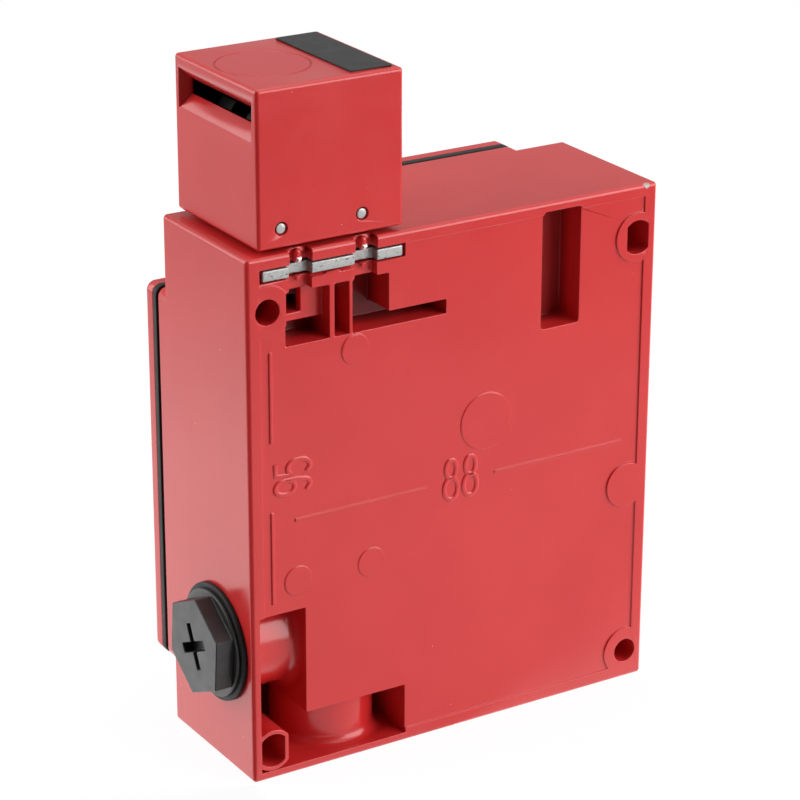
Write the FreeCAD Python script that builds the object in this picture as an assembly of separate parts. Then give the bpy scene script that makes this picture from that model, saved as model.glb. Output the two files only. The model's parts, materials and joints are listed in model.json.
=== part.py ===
import FreeCAD, Part
import math
import os

# Tongue-operated guard switch with solenoid locking, in a die-cast housing with a turret head.
# Millimetres. Origin: centre of the four fixing holes, on the rear (mounting) face.
# +Z up towards the head, +Y out of the rear face, -Y out of the cover, +X the side with the head.

V = FreeCAD.Vector

# ---- housing box ----
body_width = 97.2
top_height = 58.8            # fixing centre to top face
bottom_height = 54.0         # fixing centre to bottom face
box_depth = 34.3
step_depth = 2.8             # raised front step that carries the gasket
edge_round = 0.9
wall = 2.6
notch_width = 11.0           # corner steps that leave room for the fixing screws
notch_top = 16.5
notch_bottom = 13.5
corner_round = 2.0

# ---- compartment for the works ----
comp_margin = 3.5            # compartment to the outer walls
ceiling = 36.5
side_bay_x = 0.0             # the bay beside the works, above the cable entries
side_bay_height = 24.0       # its floor above the compartment floor
foot_bay_left = -28.0        # the bay below the terminals
foot_bay_right = 9.5
post_r = 3.2                 # cast posts that the works are screwed to

# ---- front closure ----
gasket_thickness = 2.4
gasket_rim = 1.5             # front part of the gasket, flush with the cover's outline
gasket_lip = 1.2             # how far the gasket stays back from the compartment mouth
gasket_inset = 0.9           # how far the rest stays inside the outline
cover_thickness = 3.1
cover_skin = 1.8
cover_lip = 0.5              # cover's cavity inside the compartment outline
cover_screw_x = 33.0
cover_screw_high = 54.0
cover_screw_low = 48.8
cover_screw_r = 1.9
cover_head_r = 3.2
cover_head_h = 2.0
cover_screw_grip = 7.0
cover_screw_sink = 0.3       # head below the cover face
cross_length = 4.8
cross_width = 0.9
cross_depth = 0.8

# ---- fixing pattern ----
fix_spacing_x = 88.0
fix_spacing_z = 95.0
fix_hole_r = 2.65
fix_slot_length = 7.3
fix_pad_r = 5.4

# ---- rear face relief ----
rim_width = 3.0
rim_width_top = 2.7
relief = 0.4
mark_rise = 0.2              # height of the cast discs
line_rise = 0.3              # height of the cast dimension lines
rib_width = 0.7
side_pad_x = -43.0
side_pad_z = -8.0
side_pad_r = 5.0
disc_marks = ((24.1, 36.0, 3.2), (-7.1, 14.2, 6.2), (37.6, -11.0, 3.2), (20.4, -11.0, 3.2))
upright_line_x = 43.4
upright_lines = ((20.0, 39.0), (-14.9, 5.1))
level_line_z = 2.4
level_lines = ((7.3, 38.2), (-41.5, -9.3))

# ---- head retaining fork and its slot ----
fork_width = 31.7
fork_thickness = 2.2
fork_length = 27.5
fork_gap = 0.3               # play above and below
fork_drop = 5.5              # top face to the slot floor
fork_side_play = 0.65
fork_slot_spare = 0.1        # the slot's extra height
fork_end_play = 1.5
fork_inset = 0.3             # fork stays back from the rear face
fork_round = 1.0
waist_depth = 1.9            # notch in the fork's rear edge at each channel
waist_round = 0.5
stake_r = 0.8                # cast ribs in the channels, above and below the fork
stake_lift = 0.6             # rib's axis in front of the channel floor
stake_above = 1.8
stake_below = 1.4
lip_step = 0.45              # the slot's lower edge steps down beside the channels
lip_step_width = 3.3
lip_step_depth = 1.0
channel_depth = 2.3
channel_width = 5.0
channel_offset = 7.4         # channel centres either side of the head axis
window_floor = 39.5
window_top = 50.5
window_depth = 8.5
window_shelf = 3.2
window_edge = 0.9            # window's edge beyond the channel
window_a_width = 9.9
window_sill = 4.0
window_hole_width = 4.9
window_hole_height = 5.3
window_hole_wall = 1.9
chamber_width = 7.0          # space behind the hole, open to the head's spigot
chamber_depth = 12.0
window_web_ab = 1.2
window_b_width = 3.3
window_web_bc = 0.8
window_c_width = 8.3
window_foot_width = 21.8
window_foot_height = 3.0

# ---- cable entries ----
entry_y = -14.5
side_entry_z = -27.4
bottom_entry_x = 24.5
entry_bore_r = 9.25
entry_boss_r = 11.0
entry_foot = 2.0
saving_depth = 29.0          # depth of the L-shaped core-out round the entries
saving_side = 1.9            # wall left at the side and bottom
saving_arm_x = 10.7
saving_arm_z = 11.0
saving_reach_x = 34.4
saving_reach_z = 34.7
slot_tube_wall = 0.9

# ---- upper pocket in the rear face ----
pocket_x = -25.0
pocket_width = 9.4
pocket_low = 31.5
pocket_margin = 2.0
pocket_depth = 7.5
pocket_round = 0.8

# ---- turret head ----
head_x = 29.0
head_y = -17.3
head_width = 32.7
head_depth = 32.7
head_gap = 0.8
head_height = 32.0
head_round = 0.8
head_wall = 2.7
end_wall = 2.4               # front and rear walls, at the ends of the tongue slots
fit_slack = 0.15             # base plate inside the cap
slot_wall = 3.4              # wall that holds a tongue slot and its funnel
funnel_depth = 2.6
funnel_length = 29.2
funnel_height = 8.2
tongue_slot_height = 3.2
tongue_offset = 10.2         # tongue centre plane to wheel axis
wheel_drop = 16.8            # head top to wheel axis
spigot_r = 10.0
spigot_length = 12.7
spigot_play = 0.3
groove_r = 8.0
base_thickness = 2.9
pin_r = 1.05
pin_offset = 9.05
pin_shift = 2.1              # the pair of pins sits nearer to the slotted side
pin_height = 3.95
pin_rib = 1.6                # round rib of the base plate that a pin runs through
plug_proud = 0.4
top_ring_r = 9.4
top_ring_shift = 5.6
top_ring_width = 0.3
top_ring_depth = 0.2
funnel_extra = 0.6           # the top funnel is wider by this on each side
plug_slack = 0.1
pin_play = 0.1
pin_sink = 0.2
pin_dimple_r = 1.4
pin_dimple_depth = 0.5
seal_width = 3.5

# ---- coded wheel, cam and plunger ----
wheel_r = 11.3
code_disc_width = 5.5
hub_r = 3.6
axle_r = 2.0
running_clearance = 0.05
cheek_thickness = 1.6
cheek_width = 10.0
cheek_over = 2.0             # cheek above the axle
play = 0.3                   # free gap between parts that move past each other
cam_high = 9.5
cam_lift = 5.0
cam_turn = 60.0              # wheel turn, in degrees, that a full insertion gives
cam_width = 6.0
cam_steps = 30
cam_reach = 60.0             # the plunger tip never meets the profile further round than this
notch_depth = 3.5
code_notch = 4.0
notch_angles = (35.0, -55.0)
cam_before = 10.0            # profile drawn this far before and after the working arc, in degrees
cam_after = 30.0
cam_return = 22.0            # arc of the step back to full height
plunger_r = 3.0
tip_r = 1.2
tip_height = 1.0

# ---- locking slide and contact module ----
slide_r = 2.5
slide_rise = 0.2             # slide end above the spigot's end
ring_r = 5.0
ring_thickness = 2.0
ring_bevel = 1.2
ring_bevel_height = 1.0
bolt_z = 19.0
bolt_blade = 2.2
bolt_blade_width = 8.0
bolt_r = 2.0
bolt_travel = 2.6
bolt_overlap = 2.0
blade_length = 7.0
blade_root = 1.0             # stem inside the blade
collar_back = 12.4           # collar to blade tip
collar_r = 5.0
collar_width = 2.0
module_width = 28.0
module_depth = 22.0
module_floor = -12.0
module_top = 11.0
module_wall = 3.0
module_back = 2.0
module_plate = 4.0
bridge_length = 20.0
bridge_width = 4.0
bridge_thickness = 1.0
pole_spacing = 8.0
carriage_width = 6.0
carriage_depth = 14.0
carriage_height = 6.5
carriage_play = 0.5
contact_strip = 1.0
tip_pad_r = 1.4              # silver contact tips
tip_pad_height = 0.6
tip_pad_inset = 2.0          # tip centre to the bridge's end
strip_overlap = 3.5          # how far the fixed strip reaches past the bridge's end
strip_end = 0.2
contact_screw_inset = 3.5
small_thread_r = 1.2
small_screw_play = 0.05
contact_screw_head_r = 2.2
small_head_height = 1.6
screw_slot_width = 0.7
screw_slot_depth = 0.8
spring_r = 2.4
spring_turns = 2.5

# ---- solenoid ----
coil_r = 11.0
coil_length = 34.0
coil_x = -38.0
frame_plate = 3.0
frame_strip_inset = 3.0      # the strip under the coil is narrower than the end plates
frame_foot = 4.0
frame_foot_thickness = 1.5
frame_foot_width = 10.0
frame_screw_place = 2.0      # screw to the outside of the end plate
frame_screw_r = 1.4
frame_screw_play = 0.1
frame_screw_length = 3.0
frame_screw_head_r = 1.9
frame_screw_head_height = 1.2
core_r = 4.2
core_proud = 3.0
core_bore_r = 2.0
core_bore_depth = 8.0
pole_length = 8.0
pole_bore_depth = 3.0
rivet_r = 2.6
rivet_head = 1.0
stud_r = 1.5
stud_length = 5.0
bobbin_wall = 1.0
bobbin_cheek = 1.5
winding_inset = 0.6
spring_wire = 0.5
core_spring_r = 1.4
core_spring_turns = 5

# ---- key release ----
key_x = 20.1
key_z = 22.6
barrel_r = 7.0
barrel_flange_r = 9.0
rotor_r = 4.9
key_pin_r = 1.2
key_pin_offset = 3.0
key_recess = 0.6
barrel_sink = 0.1            # flange below the cover face
rotor_sink = 0.25
barrel_length = 7.0          # barrel behind the housing step
barrel_fit = 0.05
rotor_tail = 1.5             # rotor beyond the barrel
keyway_width = 1.2
keyway_height = 7.2
keyway_depth = 9.0
key_pin_reach = 0.5
nut_corner = 10.0
nut_thickness = 2.5

# ---- indicator lamps ----
lamp_z = 30.0
lamp_x = (-26.0, -14.0)
lamp_r = 3.0
lamp_flange = 0.8
lamp_flange_thickness = 1.0
lamp_round = 0.8
lamp_post_r = 1.8
lamp_post_drop = 6.3
board_thickness = 1.2
board_side = 5.0             # board beyond the lamp centres
board_drop = 9.0             # board below the lamp centres
diode_r = 1.5
diode_gap = 0.3

# ---- terminals ----
pole_count = 6
pole_pitch = 6.6
terminal_x = -33.5
terminal_floor = -36.5
terminal_height = 14.0
terminal_back = -18.0
terminal_depth = 12.0
clamp_way_width = 4.6        # opening in the block for a clamp
clamp_way_front = 4.0
clamp_way_depth = 5.0
clamp_play = 0.1
clamp_height = 8.0
clamp_wall = 0.7
clamp_floor = 1.1
clamp_roof = 0.9
screw_way_r = 2.2
terminal_screw_sink = 2.5
terminal_screw_length = 3.0
terminal_screw_head_r = 2.0

earth_x = -40.5
earth_z = -32.0
earth_seat = -12.0
earth_screw_r = 1.8
earth_screw_length = 5.0
earth_head_r = 3.4
earth_head_height = 2.0
earth_boss_r = 4.0

# ---- blanking plug ----
seal_thickness = 1.0
seal_r = 12.5
flange_thickness = 0.9
flange_r = 11.4
hex_flats = 19.0
hex_height = 3.8
shank_length = 9.0
shank_play = 0.1
plug_slot_depth = 2.5
blade_slot_width = 1.2
blade_slot_length = 12.0
cross_slot_width = 2.6
cross_slot_length = 5.2

# ---- derived places ----
half_width = body_width / 2
frame_depth = 2 * coil_r     # the yoke is as wide as the coil
top = top_height
fork_floor = top - fork_drop
bottom = -bottom_height
step_front = -box_depth - step_depth
board_front = step_front     # the lamp board hangs level with the housing's step
gasket_front = step_front - gasket_thickness
front = gasket_front - cover_thickness
head_bottom = top + head_gap
head_top = head_bottom + head_height
wheel_z = head_top - wheel_drop
slot_z = wheel_z + tongue_offset
plug_x = head_x - tongue_offset
spigot_end = head_bottom - spigot_length
comp_left = -half_width + comp_margin
comp_right = half_width - comp_margin
saving_x0 = half_width - saving_side - saving_arm_x
saving_z1 = bottom + saving_side + saving_arm_z
comp_inner = saving_x0 - wall
comp_floor = saving_z1 + wall
rear_inner = -wall
slide_top = spigot_end + slide_rise
fork_slot_height = fork_thickness + 2 * fork_gap + fork_slot_spare
slot_half_length = head_depth / 2 - end_wall
base_reach = slot_half_length - fit_slack
wheel_half_width = base_reach - cheek_thickness - play
plunger_top = wheel_z - cam_high - play
ring_top = bolt_z - bolt_blade / 2 - play
carriage_top = module_top - module_plate - cam_lift - carriage_play
bridge_z = carriage_top - carriage_height / 2
strip_z = bridge_z + cam_lift + bridge_thickness / 2 + 2 * tip_pad_height + play
core_back = coil_x + pole_length + play
core_front = coil_x + coil_length + frame_plate + core_proud
blade_tip = head_x - ring_r - bolt_travel + bolt_overlap


def box(x0, x1, y0, y1, z0, z1):
    return Part.makeBox(x1 - x0, y1 - y0, z1 - z0, V(x0, y0, z0))


def rod_x(x0, x1, y, z, r):
    return Part.makeCylinder(r, x1 - x0, V(x0, y, z), V(1, 0, 0))


def rod_y(y0, y1, x, z, r):
    return Part.makeCylinder(r, y1 - y0, V(x, y0, z), V(0, 1, 0))


def rod_z(z0, z1, x, y, r):
    return Part.makeCylinder(r, z1 - z0, V(x, y, z0), V(0, 0, 1))


def join(pieces):
    return pieces[0].multiFuse(pieces[1:]).removeSplitter()


def rounded(shape, radius, keep):
    """Fillet the straight and curved edges whose ends both pass the test."""
    chosen = [edge for edge in shape.Edges if all(keep(v.Point) for v in edge.Vertexes)]
    return shape.makeFillet(radius, chosen)


def round_along_y(shape, radius):
    """Fillet the straight edges that run front to back."""
    chosen = []
    for edge in shape.Edges:
        ends = [v.Point for v in edge.Vertexes]
        if len(ends) == 2 and abs(ends[0].y - ends[1].y) > 0.99 * edge.Length:
            chosen.append(edge)
    return shape.makeFillet(radius, chosen)


def foot_ring(centre, axis, r, foot):
    """The concave fillet where a round boss of radius r stands on a wall."""
    collar = Part.makeCylinder(r + foot, foot, centre, axis)
    hollow = Part.makeTorus(r + foot, foot, centre + axis * foot, axis)
    return collar.cut(hollow)


def spring(x, y, z0, z1, r, wire, turns):
    """Helical compression spring standing on z0."""
    height = z1 - z0 - wire
    path = Part.makeHelix(height / turns, height, r)
    half = wire / 2
    section = [V(r + half, 0, 0), V(r, 0, half), V(r - half, 0, 0), V(r, 0, -half), V(r + half, 0, 0)]
    coil = Part.Wire(path.Edges).makePipeShell([Part.makePolygon(section)], True, True)
    coil.translate(V(x, y, z0 + wire / 2))
    return coil


# ---------------------------------------------------------------- front outline
def front_plate(y0, y1, inset=0.0):
    """Slab with the front outline: a rectangle with a notch at each corner."""
    x1 = half_width - inset
    x2 = half_width - notch_width - inset
    z_top = top - inset
    z_up = top - notch_top - inset
    z_bottom = bottom + inset
    z_low = bottom + notch_bottom + inset
    right = [(x2, z_top), (x2, z_up), (x1, z_up), (x1, z_low), (x2, z_low), (x2, z_bottom)]
    left = [(-x, z) for x, z in reversed(right)]
    points = [V(x, y0, z) for x, z in right + left]
    outline = Part.makePolygon(points + points[:1])
    slab = Part.Face(outline).extrude(V(0, y1 - y0, 0))
    return round_along_y(slab, corner_round)


def compartment(y0, y1, grow=0.0):
    """The space in the housing that holds the works, open to the front."""
    main = box(comp_left - grow, comp_inner + grow, y0, y1, comp_floor - grow, ceiling + grow)
    upper = box(side_bay_x, comp_right + grow, y0, y1, comp_floor + side_bay_height - grow, ceiling + grow)
    lower = box(foot_bay_left - grow, foot_bay_right + grow, y0, y1, bottom + comp_margin - grow, 0)
    return round_along_y(join([main, upper, lower]), corner_round)


# ---------------------------------------------------------------- fixing holes
def fixing_places():
    x = fix_spacing_x / 2
    z = fix_spacing_z / 2
    round_holes = [(x, z), (-x, -z)]
    long_holes = [(-x, z), (x, -z)]
    return round_holes, long_holes


def long_hole(x, z, y0, y1, grow=0.0):
    """Upright slot: a circle as wide as the slot is long, with two flats."""
    disc = rod_y(y0, y1, x, z, fix_slot_length / 2 + grow)
    reach = fix_slot_length + grow
    flats = box(x - fix_hole_r - grow, x + fix_hole_r + grow, y0, y1, z - reach, z + reach)
    return disc.common(flats)


# ---------------------------------------------------------------- housing
def rear_relief():
    """Shallow field inside the rim, with the round pads left standing."""
    field = box(-half_width + rim_width, half_width - rim_width, -relief, 1,
                bottom + rim_width, top - rim_width_top)
    round_holes, long_holes = fixing_places()
    pads = [rod_y(-wall, wall, x, z, fix_pad_r) for x, z in round_holes + long_holes]
    pads.append(rod_y(-wall, wall, side_pad_x, side_pad_z, side_pad_r))
    return field.cut(pads[0].multiFuse(pads[1:]))


def rear_marks():
    """Raised discs and the thin dimension lines cast on the rear face."""
    half = rib_width / 2
    discs = [rod_y(-wall / 2, mark_rise - relief, x, z, r) for x, z, r in disc_marks]
    face = line_rise - relief
    upright = [box(upright_line_x - half, upright_line_x + half, -wall / 2, face, z0, z1)
               for z0, z1 in upright_lines]
    level = [box(x0, x1, -wall / 2, face, level_line_z - half, level_line_z + half)
             for x0, x1 in level_lines]
    return discs + upright + level


def saving_recess():
    """L-shaped core-out at the lower corner, round the two cable-entry bosses."""
    x1 = half_width - saving_side
    z0 = bottom + saving_side
    upright = box(saving_x0, x1, -saving_depth, 1, z0, z0 + saving_reach_z)
    flat = box(x1 - saving_reach_x, x1, -saving_depth, 1, z0, saving_z1)
    recess = join([upright, flat])
    side_boss = rod_x(saving_x0 - 1, x1 + 1, entry_y, side_entry_z, entry_boss_r)
    low_boss = rod_z(z0 - 1, saving_z1 + 1, bottom_entry_x, entry_y, entry_boss_r)
    feet = [foot_ring(V(saving_x0, entry_y, side_entry_z), V(1, 0, 0), entry_boss_r, entry_foot),
            foot_ring(V(bottom_entry_x, entry_y, z0), V(0, 0, 1), entry_boss_r, entry_foot)]
    x = fix_spacing_x / 2
    z = -fix_spacing_z / 2
    tube = long_hole(x, z, -saving_depth, 0, slot_tube_wall)
    return recess.cut([side_boss, low_boss, tube] + feet)


def fork_slot():
    """Flat slot for the retaining fork, and the channels and windows behind it."""
    x0 = head_x - fork_width / 2 - fork_side_play
    x1 = head_x + fork_width / 2 + fork_side_play
    cuts = [box(x0, x1, -fork_length - fork_end_play, 1, fork_floor, fork_floor + fork_slot_height)]
    for side in (-1, 1):
        x = head_x + side * channel_offset
        cuts.append(box(x - channel_width / 2, x + channel_width / 2, -channel_depth, 1,
                        window_top - 1, top + 1))
        inner = x - side * channel_width / 2
        step = inner - side * lip_step_width
        cuts.append(box(min(inner, step), max(inner, step), -lip_step_depth, 1,
                        fork_floor - lip_step, fork_floor + 1))
    edge = head_x + channel_offset + channel_width / 2 + window_edge
    a = edge - window_a_width
    b = a - window_web_ab
    c = b - window_b_width - window_web_bc
    cuts.append(box(a, edge, -window_shelf, 1, window_floor, window_top))
    cuts.append(box(a, edge, -window_depth, 1, window_floor, window_floor + window_sill))
    hole_floor = window_top - window_hole_height
    hole_back = -window_shelf - window_hole_wall
    cuts.append(box(edge - window_hole_width, edge, hole_back - 1, 1, hole_floor, window_top))
    cuts.append(box(edge - chamber_width, edge, -chamber_depth, hole_back, hole_floor, window_top))
    cuts.append(box(b - window_b_width, b, -window_depth, 1, window_floor, window_top))
    cuts.append(box(c - window_c_width, c, -window_depth, 1, window_floor, window_top))
    cuts.append(box(c - window_foot_width, c, -window_depth, 1, window_floor,
                    window_floor + window_foot_height))
    return cuts


def fork_stakes():
    """Half-round ribs on the channel floors, which end in a point below the fork."""
    ribs = []
    high = fork_floor + fork_slot_height
    y = stake_lift - channel_depth
    for side in (-1, 1):
        x = head_x + side * channel_offset
        ribs.append(rod_z(high, high + stake_above, x, y, stake_r))
        ribs.append(Part.makeSphere(stake_r, V(x, y, high + stake_above)))
        foot = V(x, y, fork_floor - stake_below)
        ribs.append(Part.makeCone(0, stake_r, stake_below, foot, V(0, 0, 1)))
    return ribs


def inner_bosses():
    """Cast posts inside the compartment that the works are screwed to."""
    posts = []
    for x in (terminal_x + post_r, terminal_x + pole_count * pole_pitch - post_r):
        posts.append(rod_y(terminal_back, rear_inner, x, terminal_floor + terminal_height / 2, post_r))
    for x in frame_screw_places():
        posts.append(rod_y(head_y + frame_depth / 2, rear_inner, x, bolt_z, post_r))
    for x in (head_x - module_width / 2 + post_r, head_x + module_width / 2 - post_r):
        for z in (module_floor + post_r, module_top - post_r):
            posts.append(rod_y(head_y + module_depth / 2, rear_inner, x, z, post_r))
    posts.append(rod_y(earth_seat, rear_inner, earth_x, earth_z, earth_boss_r))
    return posts


def housing():
    outer = box(-half_width, half_width, -box_depth, 0, bottom, top)
    outer = rounded(outer, edge_round, lambda p: True)
    body = join([outer, front_plate(step_front, -box_depth / 2)])
    pocket_wall = box(pocket_x - pocket_width / 2 - wall, pocket_x + pocket_width / 2 + wall,
                      -pocket_depth - wall, 0, pocket_low - wall, top)
    space = compartment(step_front - 1, rear_inner).cut(pocket_wall)
    body = body.cut(space)
    body = join([body] + inner_bosses())
    body = body.cut(rear_relief())
    body = join([body] + rear_marks())
    cuts = [saving_recess()] + fork_slot()
    cuts.append(round_along_y(box(pocket_x - pocket_width / 2, pocket_x + pocket_width / 2, -pocket_depth, 1,
                                  pocket_low, top - pocket_margin), pocket_round))
    round_holes, long_holes = fixing_places()
    for x, z in round_holes:
        cuts.append(rod_y(-box_depth - 1, 1, x, z, fix_hole_r))
    for x, z in long_holes:
        cuts.append(long_hole(x, z, -box_depth - 1, 1))
    cuts.append(rod_z(spigot_end - play, top + 1, head_x, head_y, spigot_r + spigot_play))
    cuts.append(rod_z(ceiling - 1, fork_floor, head_x, head_y, slide_r + play))
    cuts.append(rod_x(comp_inner - 1, half_width + 1, entry_y, side_entry_z, entry_bore_r))
    cuts.append(rod_z(bottom - 1, comp_floor + 1, bottom_entry_x, entry_y, entry_bore_r))
    cuts.append(rod_y(earth_seat - 1, earth_seat + earth_screw_length + 1, earth_x, earth_z, earth_screw_r))
    for x in frame_screw_places():
        cuts.append(rod_y(head_y + frame_depth / 2 - 1, head_y + frame_depth / 2 + frame_screw_length,
                          x, bolt_z, frame_screw_r))
    for x, z in cover_screw_places():
        cuts.append(rod_y(step_front - cover_screw_r, step_front + cover_screw_grip, x, z, cover_screw_r))
    return join([body.cut(cuts)] + fork_stakes())


# ---------------------------------------------------------------- front closure
def cover_screw_places():
    return [(x, z) for x in (-cover_screw_x, cover_screw_x) for z in (cover_screw_high, -cover_screw_low)]


def gasket():
    rim = front_plate(gasket_front, gasket_front + gasket_rim)
    plate = join([rim, front_plate(gasket_front + gasket_rim, step_front, gasket_inset)])
    holes = [compartment(gasket_front - 1, step_front + 1, gasket_lip)]
    for x, z in cover_screw_places():
        holes.append(rod_y(gasket_front - 1, step_front + 1, x, z, cover_screw_r + play))
    return plate.cut(holes)


def cover():
    plate = front_plate(front, gasket_front)
    plate = rounded(plate, edge_round, lambda p: abs(p.y - front) < 0.01)
    cuts = [compartment(front + cover_skin, gasket_front + 1, -cover_lip)]
    for x, z in cover_screw_places():
        cuts.append(rod_y(front - 1, gasket_front + 1, x, z, cover_screw_r + play))
        cuts.append(rod_y(front - 1, front + cover_head_h + cover_screw_sink, x, z, cover_head_r + play))
    for x in lamp_x:
        cuts.append(rod_y(front - 1, gasket_front + 1, x, lamp_z, lamp_r))
    cuts.append(rod_y(front - 1, gasket_front + 1, key_x, key_z, barrel_r))
    cuts.append(rod_y(front - 1, front + key_recess, key_x, key_z, barrel_flange_r + 2 * play))
    body = plate.cut(cuts)
    posts = [rod_y(front + cover_skin - 0.2, board_front, x, lamp_z - lamp_post_drop, lamp_post_r)
             for x in lamp_x]
    return join([body] + posts)


def cover_screws():
    screws = []
    for x, z in cover_screw_places():
        face = front + cover_screw_sink
        head = rod_y(face, face + cover_head_h, x, z, cover_head_r)
        shank = rod_y(face + cover_head_h, step_front + cover_screw_grip - 1, x, z, cover_screw_r)
        long = cross_length / 2
        half = cross_width / 2
        slot = box(x - long, x + long, face - 1, face + cross_depth, z - half, z + half)
        cross = box(x - half, x + half, face - 1, face + cross_depth, z - long, z + long)
        screws.append(join([head, shank]).cut([slot, cross]))
    return Part.makeCompound(screws)


# ---------------------------------------------------------------- cable entry plug
def blanking_plug():
    x0 = half_width + seal_thickness
    flange = rod_x(x0, x0 + flange_thickness, entry_y, side_entry_z, flange_r)
    shank = rod_x(x0 - seal_thickness - shank_length, x0, entry_y, side_entry_z, entry_bore_r - shank_play)
    corner = hex_flats / math.sqrt(3)
    points = []
    for step in range(7):
        angle = math.radians(90 + 60 * step)
        points.append(V(x0, entry_y + corner * math.cos(angle), side_entry_z + corner * math.sin(angle)))
    length = flange_thickness + hex_height
    head = Part.Face(Part.makePolygon(points)).extrude(V(length, 0, 0))
    face = x0 + length
    slots = []
    for width, height in ((blade_slot_width, blade_slot_length), (cross_slot_length, cross_slot_width)):
        slots.append(box(face - plug_slot_depth, face + 1, entry_y - width / 2, entry_y + width / 2,
                         side_entry_z - height / 2, side_entry_z + height / 2))
    return join([flange, shank, head]).cut(slots)


def plug_seal():
    ring = rod_x(half_width, half_width + seal_thickness, entry_y, side_entry_z, seal_r)
    bore = rod_x(half_width - seal_thickness, half_width + 2 * seal_thickness, entry_y, side_entry_z,
                 entry_bore_r)
    return ring.cut(bore)


# ---------------------------------------------------------------- head retaining fork
def retaining_fork():
    z0 = fork_floor + fork_gap
    x0 = head_x - fork_width / 2
    z1 = z0 + fork_thickness
    plate = box(x0, x0 + fork_width, -fork_length, -fork_inset, z0, z1)
    plate = rounded(plate, fork_round, lambda p: p.y < -fork_length / 2)
    arms = groove_r + play
    cuts = [box(head_x - arms, head_x + arms, -fork_length - 1, head_y, z0 - 1, z1 + 1),
            rod_z(z0 - 1, z1 + 1, head_x, head_y, arms)]
    for side in (-1, 1):
        x = head_x + side * channel_offset
        notch = box(x - channel_width / 2, x + channel_width / 2, -fork_inset - waist_depth, 1,
                    z0 - 1, z1 + 1)
        cuts.append(rounded(notch, waist_round, lambda p: p.y < 0))
    return plate.cut(cuts)


# ---------------------------------------------------------------- turret head
def frame_wire(place, half_a, half_b):
    """Closed rectangle, 2 half_a by 2 half_b, on the plane that place maps it to."""
    corners = [(-half_a, -half_b), (half_a, -half_b), (half_a, half_b), (-half_a, half_b)]
    points = [place(a, b) for a, b in corners]
    return Part.makePolygon(points + points[:1])


def slot_cuts():
    """Funnel and slot for the tongue in the side wall, and the same pair in the top wall."""
    long = slot_half_length
    half = tongue_slot_height / 2
    mouth = funnel_height / 2
    top_mouth = mouth + funnel_extra
    face = head_x + head_width / 2
    side = Part.makeLoft([
        frame_wire(lambda a, b: V(face - funnel_depth, head_y + a, slot_z + b), long, half),
        frame_wire(lambda a, b: V(face + 0.01, head_y + a, slot_z + b), funnel_length / 2, mouth)],
        True, True)
    upper = Part.makeLoft([
        frame_wire(lambda a, b: V(plug_x + b, head_y + a, head_top - funnel_depth), long, half),
        frame_wire(lambda a, b: V(plug_x + b, head_y + a, head_top + 0.01), funnel_length / 2, top_mouth)],
        True, True)
    side_slot = box(face - slot_wall - 1, face - funnel_depth + 0.1, head_y - long, head_y + long,
                    slot_z - half, slot_z + half)
    upper_slot = box(plug_x - half, plug_x + half, head_y - long, head_y + long,
                     head_top - slot_wall - 1, head_top - funnel_depth + 0.1)
    return [side, upper, side_slot, upper_slot]


def head_housing():
    hx = head_width / 2
    hy = head_depth / 2
    cap = box(head_x - hx, head_x + hx, head_y - hy, head_y + hy, head_bottom, head_top)
    cap = rounded(cap, head_round, lambda p: True)
    long = slot_half_length
    cavity = box(head_x - hx + head_wall, head_x + hx - slot_wall, head_y - long, head_y + long,
                 head_bottom - 1, head_top - slot_wall)
    cuts = [cavity] + slot_cuts()
    rear = head_y + hy
    for x in pin_places():
        z = head_bottom + pin_height
        cuts.append(rod_y(head_y - hy - 1, rear + 1, x, z, pin_r + pin_play))
        cuts.append(rod_y(rear - pin_dimple_depth, rear + 1, x, z, pin_dimple_r))
    ring_x = head_x + top_ring_shift
    half = top_ring_width / 2
    ring = rod_z(head_top - top_ring_depth, head_top + 1, ring_x, head_y, top_ring_r + half)
    cuts.append(ring.cut(rod_z(head_top - 1, head_top + 2, ring_x, head_y, top_ring_r - half)))
    return cap.cut(cuts)


def pin_places():
    middle = head_x + pin_shift
    return (middle - pin_offset, middle + pin_offset)


def head_base():
    """Plate and spigot that close the cap from below and carry the wheel."""
    x0 = head_x - head_width / 2 + head_wall + fit_slack
    x1 = head_x + head_width / 2 - slot_wall - fit_slack
    y0 = head_y - base_reach
    y1 = head_y + base_reach
    plate_top = head_bottom + base_thickness
    parts = [box(x0, x1, y0, y1, head_bottom, plate_top)]
    parts.append(rod_z(spigot_end, head_bottom, head_x, head_y, spigot_r))
    for x in pin_places():
        parts.append(box(x - pin_rib, x + pin_rib, y0, y1, head_bottom, head_bottom + pin_height))
        parts.append(rod_y(y0, y1, x, head_bottom + pin_height, pin_rib))
    cheek_top = wheel_z + axle_r + cheek_over
    for y in (y0, y1 - cheek_thickness):
        cheek = box(head_x - cheek_width / 2, head_x + cheek_width / 2, y, y + cheek_thickness,
                    head_bottom, cheek_top)
        parts.append(cheek)
    body = join(parts)
    groove_low = fork_floor
    groove_high = fork_floor + fork_slot_height
    groove = rod_z(groove_low, groove_high, head_x, head_y, spigot_r + 1)
    groove = groove.cut(rod_z(groove_low - 1, groove_high + 1, head_x, head_y, groove_r))
    cuts = [groove, rod_z(spigot_end - 1, plate_top + 1, head_x, head_y, plunger_r + play)]
    for x in pin_places():
        cuts.append(rod_y(y0 - 1, y1 + 1, x, head_bottom + pin_height, pin_r + pin_play))
    cuts.append(rod_y(y0 - 1, y1 + 1, head_x, wheel_z, axle_r))
    return body.cut(cuts)


def head_pins():
    reach = head_depth / 2 - pin_sink
    z = head_bottom + pin_height
    return Part.makeCompound([rod_y(head_y - reach, head_y + reach, x, z, pin_r) for x in pin_places()])


def head_seal():
    ring = rod_z(top + play, head_bottom, head_x, head_y, spigot_r + seal_width)
    return ring.cut(rod_z(top, head_bottom + 1, head_x, head_y, spigot_r + spigot_play))


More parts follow.
